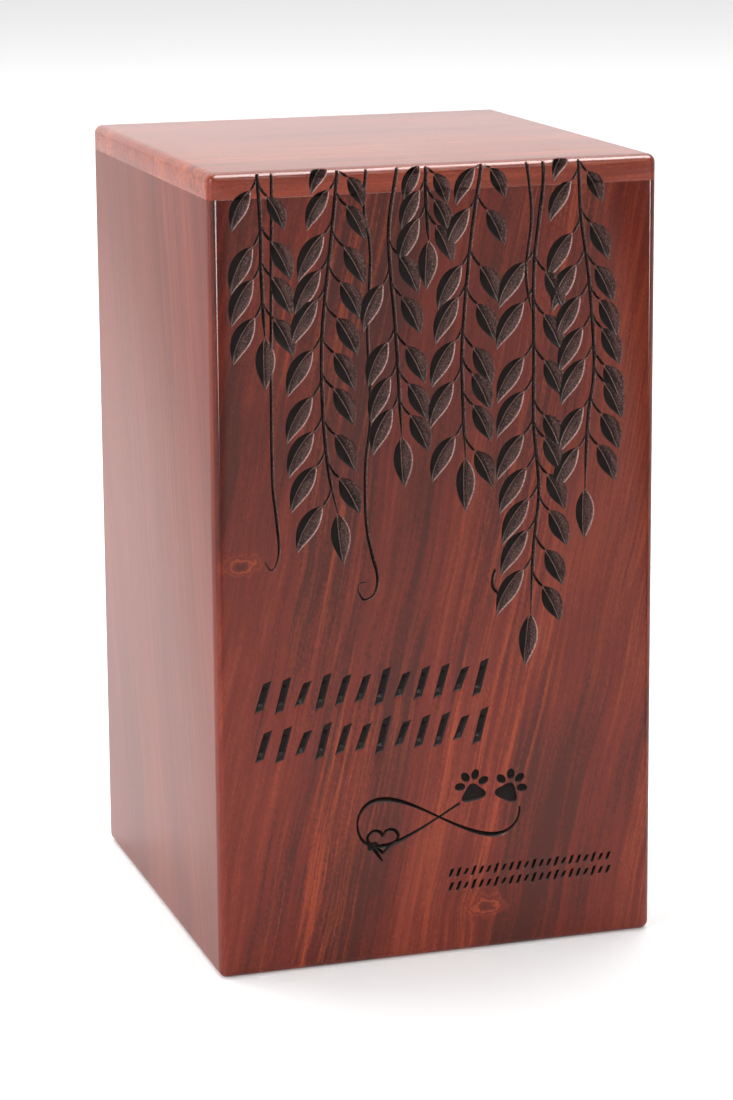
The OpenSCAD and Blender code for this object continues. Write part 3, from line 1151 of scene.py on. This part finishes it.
def wood(name: str, stain: Stain, grain: Grain, knots: Sequence[Knot] = ()) -> bpy.types.Material:
    """Stained, varnished wood with streaks along its grain.

    Args:
        name: The material's name.
        stain: Its colours and gloss.
        grain: Which way the fibres run.
        knots: Any knots in its front face.

    Returns:
        The material.
    """
    g = Graph(name)
    place = g.place()
    x, _, z = place
    along, over, through = (place[axis] for axis in grain.value)
    lean = 0.01 if grain is Grain.LEVEL else 0.2
    wander = g.scaled(g.noise(g.vector(over, through, along), 9, 2), 0.012, -0.006)
    across = g.sum("SUBTRACT", g.plus(over, wander), g.times(along, lean))
    ring = None
    for knot in knots:
        dx = g.sum("DIVIDE", g.sum("SUBTRACT", x, knot.x * MM), knot.half_x * MM)
        dz = g.sum("DIVIDE", g.sum("SUBTRACT", z, knot.z * MM), knot.half_z * MM)
        far = g.sum("SQRT", g.plus(g.times(dx, dx), g.times(dz, dz)))
        pull = g.times(dx, -knot.half_z * MM * 0.8)
        push = g.sum("DIVIDE", pull, g.plus(g.times(far, far), 0.6))
        across = g.plus(across, push)
        ring = far if ring is None else g.sum("MINIMUM", ring, far)
    slow, slower = g.times(along, 0.16), g.times(along, 0.03)
    broad = g.noise(g.vector(g.plus(across, 0.175), through, slow), 30, 3, 0.6)
    speck = g.noise(g.vector(over, through, g.times(along, 0.5)), 1300, 2, 0.7)
    streak = g.noise(g.vector(across, through, slower), 380, 4, 0.68)
    fibre = g.noise(g.vector(across, through, slower), 1500, 2, 0.7)
    tone = g.plus(g.times(broad, 0.66), g.times(streak, 0.34))
    tone = g.plus(tone, g.scaled(speck, 0.16, -0.08))
    base = g.blend(g.fade(tone, 0.4, 0.52), colour(stain.dark), colour(stain.body))
    base = g.blend(g.fade(tone, 0.51, 0.64), base, colour(stain.light))
    patch = g.noise(g.vector(g.plus(across, 0.31), through, slow), 22, 2, 0.5)
    glow = g.noise(g.vector(g.plus(across, 0.31), through, slower), 420, 3, 0.65)
    glow = g.plus(glow, g.scaled(speck, 0.24, -0.12))
    shine = g.times(g.fade(glow, 0.44, 0.7), g.fade(patch, 0.44, 0.62, 0.12, 1))
    base = g.blend(g.times(shine, 0.72), base, colour(stain.glow))
    base = g.blend(g.fade(fibre, 0.35, 0.6, 0.35, 0), base, colour(stain.dark))
    if ring is not None:
        waver = g.noise(g.vector(x, 0.0, z), 300, 3, 0.6)
        ring = g.plus(ring, g.scaled(waver, 1.7, -0.85))
        wave = g.sum("SINE", g.times(ring, 13))
        halo = g.fade(ring, 0.3, 1.5, 0.75, 0)
        base = g.blend(halo, base, g.blend(g.fade(wave, -1, 1), colour(stain.body), colour(stain.glow)))
        base = g.blend(g.fade(ring, 0.1, 0.5, 0.95, 0), base, colour(stain.dark))
        # Darker towards the top of the front and lighter towards its bottom: in part painted light,
        # standing for the light thrown up by the floor, in part the board's own tone.
        level = g.fade(z, 0.04, 0.2, 1.25, 0.8)
        base = g.blend(1.0, base, g.vector(level, level, level), "MULTIPLY")
    wide = g.node("ShaderNodeBump", {"Height": streak, "Strength": 0.12, "Distance": 0.0004})
    fine = {"Height": fibre, "Strength": 0.1, "Distance": 0.0002, "Normal": wide.outputs[0]}
    normal = g.node("ShaderNodeBump", fine).outputs[0]
    return g.finish(Base_Color=base, Roughness=stain.gloss, IOR=stain.ior, Normal=normal)


def cut_wood(name: str, deep: str, lit_and_raised: str, painted_highlight: str) -> bpy.types.Material:
    """The dark bottom of the carving, with the tool's fine marks running along each leaf, and painted
    light and shade: the side of each cut towards the light is painted lighter, the side away from it
    darker, with painted highlights on its lit rims and its rib.

    Args:
        name: The material's name.
        deep: The colour of the painted shade on the side of each cut away from the light, and between the
            tool's marks.
        lit_and_raised: The colour of the painted light on the side of each cut towards the light, and on
            the tool's marks.
        painted_highlight: The colour of the painted highlights on the lit rims and ribs of the cuts, and
            on flecks on their lit side.

    Returns:
        The material.
    """
    g = Graph(name)
    grain_map = g.node("ShaderNodeUVMap", uv_map="grain").outputs[0]
    marks = g.node("ShaderNodeSeparateXYZ", {0: grain_map}).outputs
    edge_map = g.node("ShaderNodeUVMap", uv_map="edge").outputs[0]
    edge = g.node("ShaderNodeSeparateXYZ", {0: edge_map}).outputs
    fine = g.noise(g.vector(marks[0], g.times(marks[1], 0.45), 0.0), 2600, 3, 0.7)
    wide = g.noise(g.vector(marks[0], g.times(marks[1], 0.12), 0.0), 1100, 2, 0.6)
    tone = g.plus(g.times(fine, 0.55), g.times(wide, 0.45))
    # Painted light and shade: each cut is lighter on its side towards the light and darker on its side
    # away from it, mixed with the tool marks' own tone.
    turned = g.plus(g.fade(edge[1], -0.12, 0.25), g.fade(tone, 0.38, 0.62, -0.55, 0.45))
    base = g.blend(g.fade(turned, 0.2, 1.35), colour(deep), colour(lit_and_raised))
    # Painted highlight: pale flecks on the tool marks, on the lit side of each cut only.
    lit_speckle = g.times(g.fade(fine, 0.54, 0.68), g.fade(turned, 0.5, 1.2))
    base = g.blend(g.times(lit_speckle, 0.22), base, colour(painted_highlight))
    # Painted highlight along the rib of each leaf.
    rib = g.fade(g.sum("ABSOLUTE", marks[0]), 0.00008, 0.00028, 0.5, 0)
    base = g.blend(g.times(rib, g.fade(fine, 0.3, 0.6, 0.4, 1)), base, colour(painted_highlight))
    # Painted highlight along the rim of each cut where its wall faces the light, fullest on the leaves.
    rim = g.times(g.fade(edge[0], 0.00012, 0.00042, 1, 0), g.fade(edge[1], 0.3, 0.95))
    rim = g.times(rim, g.fade(fine, 0.34, 0.56, 0.35, 1))
    leaf = g.fade(marks[0], 0.006, 0.012, 1, 0.28)
    base = g.blend(g.times(rim, leaf), base, colour(painted_highlight))
    bump = g.node("ShaderNodeBump", {"Height": tone, "Strength": 0.45, "Distance": 0.0002})
    normal = bump.outputs[0]
    return g.finish(Base_Color=base, Roughness=0.6, Specular_IOR_Level=0.16, Normal=normal)


# ---- The setting ----


@dataclass(frozen=True)
class View:
    """Where the camera stands: its target and distance in metres, its angles in degrees."""

    target: tuple[float, float, float] = (0.00058, 0, 0.16935)
    distance: float = 1.22267
    side: float = -17.656
    height: float = 11.446
    roll: float = -0.413
    lens: float = 109.31
    shift: float = -0.1


def place_camera(view: View) -> None:
    """Puts the camera in place."""
    az, el, roll = (math.radians(v) for v in (view.side, view.height, view.roll))
    back = Vector((math.sin(az) * math.cos(el), -math.cos(az) * math.cos(el), math.sin(el)))
    right = (-back).cross(Vector((0, 0, 1))).normalized()
    up = right.cross(-back)
    right, up = (
        right * math.cos(roll) + up * math.sin(roll),
        up * math.cos(roll) - right * math.sin(roll),
    )
    data = bpy.data.cameras.new("camera")
    data.lens, data.sensor_width, data.sensor_fit, data.shift_y = view.lens, 36, "AUTO", view.shift
    data.clip_start, data.clip_end = 0.01, 100
    camera = bpy.data.objects.new("camera", data)
    spot = Vector(view.target) + back * view.distance
    camera.matrix_world = Matrix.Translation(spot) @ Matrix((right, up, back)).transposed().to_4x4()
    bpy.context.scene.collection.objects.link(camera)
    bpy.context.scene.camera = camera


@dataclass(frozen=True)
class Softbox:
    """A large soft light: where it is, what it faces, its size in metres and its power."""

    name: str
    at: tuple[float, float, float]
    size: tuple[float, float]
    power: float
    aim: tuple[float, float, float] = (0, 0, 0.16)
    only_gloss: bool = False  # seen in reflections only, and lights no surface

    def build(self) -> None:
        """Adds the light."""
        data = bpy.data.lights.new(self.name, "AREA")
        data.shape, data.size, data.size_y, data.energy = "RECTANGLE", *self.size, self.power
        lamp = bpy.data.objects.new(self.name, data)
        lamp.location = self.at
        way = Vector(self.aim) - Vector(self.at)
        lamp.rotation_euler = way.to_track_quat("-Z", "Y").to_euler()
        lamp.visible_camera = False
        lamp.visible_diffuse = not self.only_gloss
        bpy.context.scene.collection.objects.link(lamp)


def set_stage() -> None:
    """Adds a pale floor, a white surround that is brightest behind the box, and the lights."""
    scene = bpy.context.scene
    scene.view_settings.view_transform = "Standard"
    world = bpy.data.worlds.new("surround")
    world.use_nodes = True
    nodes, links = world.node_tree.nodes, world.node_tree.links
    way = nodes.new("ShaderNodeSeparateXYZ")
    links.new(nodes.new("ShaderNodeTexCoord").outputs["Generated"], way.inputs[0])
    fall = nodes.new("ShaderNodeMapRange")
    fall.interpolation_type = "SMOOTHSTEP"
    for key, value in {"From Min": -0.25, "From Max": 0.45, "To Min": 0.1, "To Max": 1.3}.items():
        fall.inputs[key].default_value = value
    links.new(way.outputs["Y"], fall.inputs["Value"])
    nodes["Background"].inputs[0].default_value = (1, 1, 1, 1)
    links.new(fall.outputs[0], nodes["Background"].inputs[1])
    scene.world = world
    g = Graph("floor")
    pale, white = (0.9, 0.9, 0.9, 1), (1, 1, 1, 1)
    g.finish(Base_Color=pale, Roughness=0.9, Emission_Color=white, Emission_Strength=0.14)
    mesh = bpy.data.meshes.new("floor")
    mesh.from_pydata([(-12, -6, 0), (12, -6, 0), (12, 18, 0), (-12, 18, 0)], [], [(0, 1, 2, 3)])
    mesh.materials.append(g.material)
    floor = bpy.data.objects.new("floor", mesh)
    scene.collection.objects.link(floor)
    for box in (
        Softbox("key", (-2.0, -0.95, 0.85), (0.7, 1.0), 34),
        Softbox("glint", (0.9, -2.5, 1.5), (0.5, 0.5), 12),
        Softbox("brow", (0.6, -0.75, 2.3), (2.2, 1.0), 230, (0.1, -0.08, 0.28), True),
        Softbox("top", (0.0, 1.0, 2.6), (3.0, 2.6), 75, (0, 0.4, 0)),
    ):
        box.build()


# ---- Everything together ----


@dataclass
class UrnBox:
    """The whole box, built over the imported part."""

    sizes: Sizes
    stain: Stain = Stain()
    side_stain: Stain = Stain("703024", "63281e", "7b382a", "87402c", 0.34)
    lid_stain: Stain = Stain("8a3c2a", "733124", "9c4a32", "b35b36")

    def pieces(self) -> list[tuple[str, str, bpy.types.Mesh, bpy.types.Material]]:
        """Each piece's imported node, record slot, mesh and wood."""
        carving = Carving(self.sizes.width, self.sizes.height)
        carving.lay_out()
        cuts = carving.cuts()
        front = wood("front_wood", self.stain, Grain.FRONT, KNOTS)
        back = wood("back_wood", self.stain, Grain.FRONT)
        aside = wood("side_wood", self.side_stain, Grain.SIDE)
        level = wood("lid_wood", self.lid_stain, Grain.LEVEL)
        woods = {Side.FRONT: front, Side.BACK: back, Side.LEFT: aside, Side.RIGHT: aside}
        boards = []
        for side in Side:
            node = f"{side.name.lower()}_board"
            mine = cuts if side is Side.FRONT else ()
            mesh = WallBoard(f"{node}_wood", side, self.sizes, mine).build()
            boards.append((node, "wall_wood", mesh, woods[side]))
        boards.append(("lid", "lid_wood", Lid("lid_board", self.sizes, cuts).build(), level))
        boards.append(("base_board", "base_wood", BaseBoard("base_board_wood", self.sizes).build(), level))
        return boards

    def build(self) -> None:
        """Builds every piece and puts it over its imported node."""
        # Both carved finishes paint light and shade into each cut: a darker side away from the light, a
        # lighter side towards it, and highlights on lit rims and ribs.
        dark = cut_wood("carved_wood", "150c0a", "4d3430", "bb968e")
        burnt = cut_wood("burnt_wood", "150b09", "2b1a16", "5a3d36")
        for node, slot, mesh, material in self.pieces():
            mesh.materials.append(material)
            if node in CARVED:
                mesh.materials.append(dark)
                mesh.materials.append(burnt)
            piece = bpy.data.objects.new(mesh.name, mesh)
            bpy.context.scene.collection.objects.link(piece)
            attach(piece, "root")
            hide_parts(node)
            LOG.info("%s: %d triangles, stands for %s", piece.name, len(mesh.polygons), node)


def main() -> None:
    """Builds the box, the setting and the camera."""
    logging.basicConfig(level=logging.INFO, format="%(name)s: %(message)s")
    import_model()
    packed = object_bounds()
    width, depth, height = (round((high - low) / MM, 3) for low, high in zip(*packed))
    UrnBox(Sizes(width, depth, height)).build()
    set_stage()
    place_camera(View())


if __name__ == "__main__":
    main()
